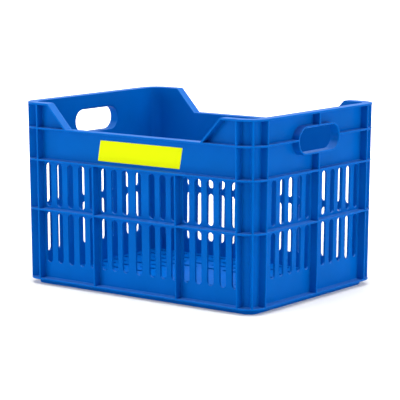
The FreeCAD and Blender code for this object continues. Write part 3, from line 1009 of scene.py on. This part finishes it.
def upright_places(plan, feet):
    """A place for each clear height above each foot, given as (x, y, turn, up_to_rim)."""
    return [
        (x, y, turn, *span)
        for x, y, turn, up_to_rim in feet
        for span in spans(plan, up_to_rim)
    ]


def long_upright_places(plan, side):
    """Uprights of a front or back wall."""
    half_y = plan.skin()[1]
    y = -half_y if side == "front" else half_y
    return upright_places(plan, [
        (sign * x, y, LONG_SIDES[side], up_to_rim)
        for x, up_to_rim in ((plan.long_corner, True), (plan.form.bay_upright, False))
        for sign in (-1, 1)
    ])


def end_upright_places(plan, side):
    """Uprights of a left or right wall; the middle one stops at the hand-hold's collar."""
    half_x = plan.skin()[0]
    turn = END_SIDES[side]
    x = half_x if side == "right" else -half_x
    feet = ((-plan.end_corner, True), (plan.end_corner, True), (0.0, False))
    into = plan.form.rib_thickness * RING_SHARE
    collar = (plan.openings.grip_height + plan.openings.collar_wall) / 2
    return upright_places(plan, [(x, y, turn, up_to_rim) for y, up_to_rim in feet]) + [
        (x, 0.0, turn, plan.upper_top - into, plan.grip_level - collar),
        (x, 0.0, turn, plan.grip_level + collar, plan.rim_low + into),
    ]


def corner_upright_places(plan):
    """One upright on the diagonal of each rounded corner."""
    reach = plan.skin_radius * math.cos(QUARTER / 2)
    x = plan.centre_x + reach
    y = plan.centre_y + reach
    return upright_places(plan, [
        (along * x, across * y, (n + 0.5) * QUARTER, True)
        for n, (along, across) in enumerate(((1, -1), (1, 1), (-1, 1), (-1, -1)))
    ])


def make_collar(plan, side):
    """A hand-hold's raised collar, which also lines the hole through the wall."""
    openings = plan.openings
    edges = plan.edges
    half_y = openings.grip_height / 2
    corners = rectangle(openings.grip_length / 2, half_y)
    path = [(x, plan.grip_level + y, 0.0, half_y) for x, y in corners]
    # x is how far out from the hole's outline, y how far out from the wall's inner face
    wall = openings.collar_wall
    skin = plan.form.wall_thickness
    lip = skin + plan.form.rib_depth
    section = [
        (0.0, 0.0, edges.wall_round),
        (wall / 2, 0.0, 0.0),
        (wall / 2, skin - edges.root_depth, 0.0),
        (wall + edges.root_round, skin - edges.root_depth, 0.0),
        (wall + edges.root_round, skin, 0.0),
        (wall, skin, edges.root_round),
        (wall, lip, edges.lip_round),
        (0.0, lip, edges.mouth_round),
    ]

    def place(piece):
        stand(piece, plan, END_SIDES[side], plan.cavity_x)

    run_rib(side + "_handle_collar", [path], True, section, place)


# ------------------------ floor and label

# every slit lies further than this from the wall, and the floor's own outline doesn't
SLIT_CLEAR = 1.0 * MM
# the cut film's rounded edge, as a share of its thickness
FILM_ROUND_SHARE = 0.4


def make_floor_grid(plan):
    """The floor: rows of slits round a plain plate in the middle."""
    form = plan.form
    openings = plan.openings
    level = openings.floor_low
    inset = form.rib_depth + form.wall_thickness + plan.lean(level)
    half_x = plan.half_length - inset
    half_y = plan.half_width - inset
    column_run = half_x - openings.slit_end_gap + openings.slit_bridge / 2
    column_pitch = column_run / openings.slit_columns
    row_pitch = (half_y - openings.slit_side_gap - openings.slit_width / 2) / openings.slit_rows
    holes = []
    for column in range(openings.slit_columns):
        for row in range(-openings.slit_rows, openings.slit_rows + 1):
            if column < openings.plate_columns and abs(row) <= openings.plate_rows:
                continue
            x = column_pitch * (column + 0.5)
            length = column_pitch - openings.slit_bridge
            for sign in (-1, 1):
                place = (sign * x, row * row_pitch, length, openings.slit_width, QUARTER)
                holes.append(place)
    # the floor is rooted in the walls a little way
    root = plan.edges.root_depth
    radius = plan.skin_radius - plan.lean(level) - form.wall_thickness + root
    outline = [(x, y, radius) for x, y in rectangle(half_x + root, half_y + root)]
    piece = plate(
        "floor_grid",
        outline,
        holes,
        openings.floor_thickness,
        hole_steps=SLIT_STEPS,
        # the floor gets no painted sheen on what faces up
        finish=moulded_polypropylene(with_painted_sheen=False),
    )

    def is_slit(spot):
        return abs(spot.x) < half_x - SLIT_CLEAR and abs(spot.y) < half_y - SLIT_CLEAR

    finish_mesh(piece, (plan.edges.slot_round, is_slit))
    piece.data.transform(Matrix.Translation((0, 0, level)))
    hand_over(piece, PLASTIC_SLOT, "floor_grid")


def make_label(plan):
    """The bare label on the front band: a thin leaning parallelogram of film."""
    finish = plan.finish
    low = plan.upper_top + finish.label_rise
    high = low + finish.label_height
    left = finish.label_offset - finish.label_length / 2
    right = finish.label_offset + finish.label_length / 2
    lean = finish.label_lean / 2
    corner = finish.label_corner
    outline = [
        (left - lean, low, corner),
        (right - lean, low, corner),
        (right + lean, high, corner),
        (left + lean, high, corner),
    ]
    thickness = finish.label_thickness
    piece = plate("label", outline, [], thickness, finish=vinyl_film())
    finish_mesh(piece, (thickness * FILM_ROUND_SHARE, lambda spot: spot.z > thickness / 2))
    stand(piece, plan, 0.0, plan.half_width - plan.form.rib_depth)
    hand_over(piece, LABEL_SLOT, "label")


# ------------------------ stage

def look_at(place, aim):
    """A matrix at a place whose -Z points to an aim."""
    away = (Vector(place) - Vector(aim)).normalized()
    return Matrix.Translation(place) @ away.to_track_quat("Z", "Y").to_matrix().to_4x4()


# name, place, length and width in metres, and watts
SOFTBOXES = (
    ("front strip", (-1.0, -2.2, 0.45), 1.6, 0.9, 26.0),
    ("right strip", (2.3, 0.3, 0.45), 1.6, 0.9, 25.0),
    ("front left softbox", (-1.5, -1.4, 1.8), 1.6, 1.6, 7.0),
    ("front right softbox", (1.2, -1.6, 2.0), 1.6, 1.6, 12.0),
    ("right back softbox", (1.6, 1.2, 1.8), 1.6, 1.6, 8.5),
    ("overhead softbox", (-0.1, 0.1, 2.4), 2.2, 2.2, 87.0),
)
LAMP_AIM = (0.0, 0.0, 0.12)
# how much of full white the room gives as light
ROOM_LIGHT = 0.12
# metres from the crate's middle where the floor's lift starts to rise and is full, and its least
LIFT_NEAR, LIFT_FAR, LEAST_LIFT = 0.3, 1.3, 0.12
# how much of the floor's paint is polished, and how rough that part is
POLISH_SHARE, POLISH_ROUGHNESS = 0.12, 0.35
# millimetres, and metres
SENSOR_WIDTH = 36.0
CLIP_END = 100.0


def seen_by(add, *rays):
    """One for a ray of these kinds and nought for any other."""
    path = add("ShaderNodeLightPath").outputs
    seen = path[rays[0]]
    for ray in rays[1:]:
        seen = add("ShaderNodeMath", {0: seen, 1: path[ray]}, operation="MAXIMUM").outputs[0]
    return seen


def studio_floor():
    """Matt painted board: plain and pale, with a trace of gloss where the crate stands."""
    material, add, place = start_material("matt painted board")
    paint_colour = tuple(bpy.context.scene.crate_stage.floor_tint)
    paint = add("ShaderNodeBsdfDiffuse", {"Color": paint_colour, "Roughness": 1.0})
    # the trace of gloss picks up the crate's colour
    polish = add(
        "ShaderNodeBsdfAnisotropic", {"Color": paint_colour, "Roughness": POLISH_ROUGHNESS}
    )
    board = add("ShaderNodeMixShader", {0: POLISH_SHARE, 1: paint, 2: polish})
    # the board is brought up to white for the camera and in reflections, and keeps the crate's
    # shadow; away from the crate, where the lamps fall off, it is brought up further
    seen = seen_by(add, "Is Camera Ray", "Is Glossy Ray")
    away = add("ShaderNodeVectorMath", {0: place}, operation="LENGTH").outputs["Value"]
    share = add(
        "ShaderNodeMapRange",
        {"Value": away, "From Min": LIFT_NEAR, "From Max": LIFT_FAR, "To Min": LEAST_LIFT},
    )
    lift = add("ShaderNodeMath", {0: seen, 1: share}, operation="MULTIPLY")
    glow = add("ShaderNodeEmission", {"Strength": lift})
    both = add("ShaderNodeAddShader", {0: board, 1: glow})
    add("ShaderNodeOutputMaterial", {"Surface": both})
    return material


def add_softbox(name, place, length, width, power):
    """A flat soft lamp that the camera doesn't see."""
    lamp = bpy.data.lights.new(name, "AREA")
    lamp.shape = "RECTANGLE"
    lamp.size = length
    lamp.size_y = width
    lamp.energy = power
    item = new_object(name, lamp)
    item.matrix_world = look_at(place, LAMP_AIM)
    item.visible_camera = False


def add_world(strength):
    """An even white room: full white to the camera and in reflections, dimmer as light."""
    world = bpy.data.worlds.new("white studio")
    world.use_nodes = True
    world.node_tree.nodes.clear()
    add = partial(add_node, world.node_tree)
    seen = seen_by(add, "Is Camera Ray", "Is Glossy Ray", "Is Transmission Ray")
    level = add("ShaderNodeMapRange", {"Value": seen, "To Min": strength, "To Max": 1.0})
    sky = add("ShaderNodeBackground", {"Strength": level})
    add("ShaderNodeOutputWorld", {"Surface": sky})
    bpy.context.scene.world = world


def add_floor(plan):
    """The plain floor that the crate stands on."""
    half = plan.stage.floor_half
    shape = bpy.data.meshes.new("studio_floor")
    shape.from_pydata([(x, y, 0) for x, y in rectangle(half, half)], [], [(0, 1, 2, 3)])
    shape.materials.append(studio_floor())
    item = new_object("studio_floor", shape)


def add_camera(plan):
    """The camera at the photograph's angle."""
    stage = plan.stage
    lens = bpy.data.cameras.new("camera")
    lens.sensor_width = SENSOR_WIDTH
    lens.lens = stage.focal_length
    lens.clip_end = CLIP_END
    turn, rise = stage.azimuth, stage.elevation
    back = Vector((
        math.sin(turn) * math.cos(rise),
        -math.cos(turn) * math.cos(rise),
        math.sin(rise),
    ))
    right = Vector((math.cos(turn), math.sin(turn), 0.0))
    axes = Matrix((right, back.cross(right), back)).transposed()
    rolled = axes @ Matrix.Rotation(stage.roll, 3, "Z")
    place = Vector(stage.aim) + back * stage.distance
    item = new_object("camera", lens)
    item.matrix_world = Matrix.Translation(place) @ rolled.to_4x4()
    bpy.context.scene.camera = item


# ------------------------ operators

class CRATE_OT_floor_grid(bpy.types.Operator):
    """Build the slitted floor"""

    bl_idname = "crate.floor_grid"
    bl_label = "Floor Grid"

    def execute(self, context):
        make_floor_grid(Plan())
        return {"FINISHED"}


class CRATE_OT_long_walls(bpy.types.Operator):
    """Build the front and back walls with their shoulders"""

    bl_idname = "crate.long_walls"
    bl_label = "Long Walls"

    def execute(self, context):
        plan = Plan()
        for side in LONG_SIDES:
            make_long_wall(plan, side)
        return {"FINISHED"}


class CRATE_OT_end_walls(bpy.types.Operator):
    """Build the left and right walls"""

    bl_idname = "crate.end_walls"
    bl_label = "End Walls"

    def execute(self, context):
        plan = Plan()
        for side in END_SIDES:
            make_end_wall(plan, side)
        return {"FINISHED"}


class CRATE_OT_corners(bpy.types.Operator):
    """Build the four rounded corners"""

    bl_idname = "crate.corners"
    bl_label = "Corners"

    def execute(self, context):
        plan = Plan()
        for side in LONG_SIDES:
            for end in END_SIDES:
                make_corner(plan, side, end)
        return {"FINISHED"}


class CRATE_OT_rings(bpy.types.Operator):
    """Build the base flange and the three rings above it"""

    bl_idname = "crate.rings"
    bl_label = "Rings"

    def execute(self, context):
        plan = Plan()
        make_ring(plan, "base_flange", plan.form.flange_low)
        make_ring(plan, "mid_rib", plan.mid_low)
        make_ring(plan, "upper_rib", plan.upper_low)
        make_shoulder_ring(plan)
        return {"FINISHED"}


class CRATE_OT_rims(bpy.types.Operator):
    """Build the raised rims of both ends"""

    bl_idname = "crate.rims"
    bl_label = "Rims"

    def execute(self, context):
        plan = Plan()
        for end in END_SIDES:
            make_rim(plan, end)
        return {"FINISHED"}


class CRATE_OT_uprights(bpy.types.Operator):
    """Build the upright ribs of every wall and corner"""

    bl_idname = "crate.uprights"
    bl_label = "Uprights"

    def execute(self, context):
        plan = Plan()
        for side in LONG_SIDES:
            make_uprights(plan, side + "_uprights", long_upright_places(plan, side))
        for side in END_SIDES:
            make_uprights(plan, side + "_uprights", end_upright_places(plan, side))
        make_uprights(plan, "corner_uprights", corner_upright_places(plan))
        return {"FINISHED"}


class CRATE_OT_collars(bpy.types.Operator):
    """Build the collars of the two hand-holds"""

    bl_idname = "crate.collars"
    bl_label = "Hand-hold Collars"

    def execute(self, context):
        plan = Plan()
        for side in END_SIDES:
            make_collar(plan, side)
        return {"FINISHED"}


class CRATE_OT_label(bpy.types.Operator):
    """Build the bare label on the front band"""

    bl_idname = "crate.label"
    bl_label = "Label"

    def execute(self, context):
        make_label(Plan())
        return {"FINISHED"}


class CRATE_OT_stage(bpy.types.Operator):
    """Set up the floor, the soft light and the camera"""

    bl_idname = "crate.stage"
    bl_label = "Stage"

    def execute(self, context):
        plan = Plan()
        context.scene.view_settings.view_transform = "Standard"
        add_world(ROOM_LIGHT)
        add_floor(plan)
        for softbox in SOFTBOXES:
            add_softbox(*softbox)
        add_camera(plan)
        return {"FINISHED"}


OPERATORS = (
    CRATE_OT_floor_grid,
    CRATE_OT_long_walls,
    CRATE_OT_end_walls,
    CRATE_OT_corners,
    CRATE_OT_rings,
    CRATE_OT_rims,
    CRATE_OT_uprights,
    CRATE_OT_collars,
    CRATE_OT_label,
    CRATE_OT_stage,
)


class CRATE_PT_panel(bpy.types.Panel):
    """Lists the crate's pieces in the sidebar"""

    bl_idname = "CRATE_PT_panel"
    bl_label = "Plastic Crate"
    bl_space_type = "VIEW_3D"
    bl_region_type = "UI"
    bl_category = "Crate"

    def draw(self, context):
        layout = self.layout
        for operator in OPERATORS:
            layout.operator(operator.bl_idname)
        for label in GROUPS:
            box = layout.box()
            group = getattr(context.scene, label)
            for name in group.bl_rna.properties.keys():
                if name not in ("rna_type", "name"):
                    box.prop(group, name)


def register():
    for group in GROUPS.values():
        bpy.utils.register_class(group)
    for label, group in GROUPS.items():
        setattr(bpy.types.Scene, label, PointerProperty(type=group))
    for operator in OPERATORS:
        bpy.utils.register_class(operator)
    bpy.utils.register_class(CRATE_PT_panel)


def unregister():
    bpy.utils.unregister_class(CRATE_PT_panel)
    for operator in reversed(OPERATORS):
        bpy.utils.unregister_class(operator)
    for label in GROUPS:
        delattr(bpy.types.Scene, label)
    for group in reversed(list(GROUPS.values())):
        bpy.utils.unregister_class(group)


def main():
    """Registers the add-on and builds every piece in order."""
    register()
    for operator in OPERATORS:
        family, name = operator.bl_idname.split(".")
        getattr(getattr(bpy.ops, family), name)()


if __name__ == "__main__":
    main()
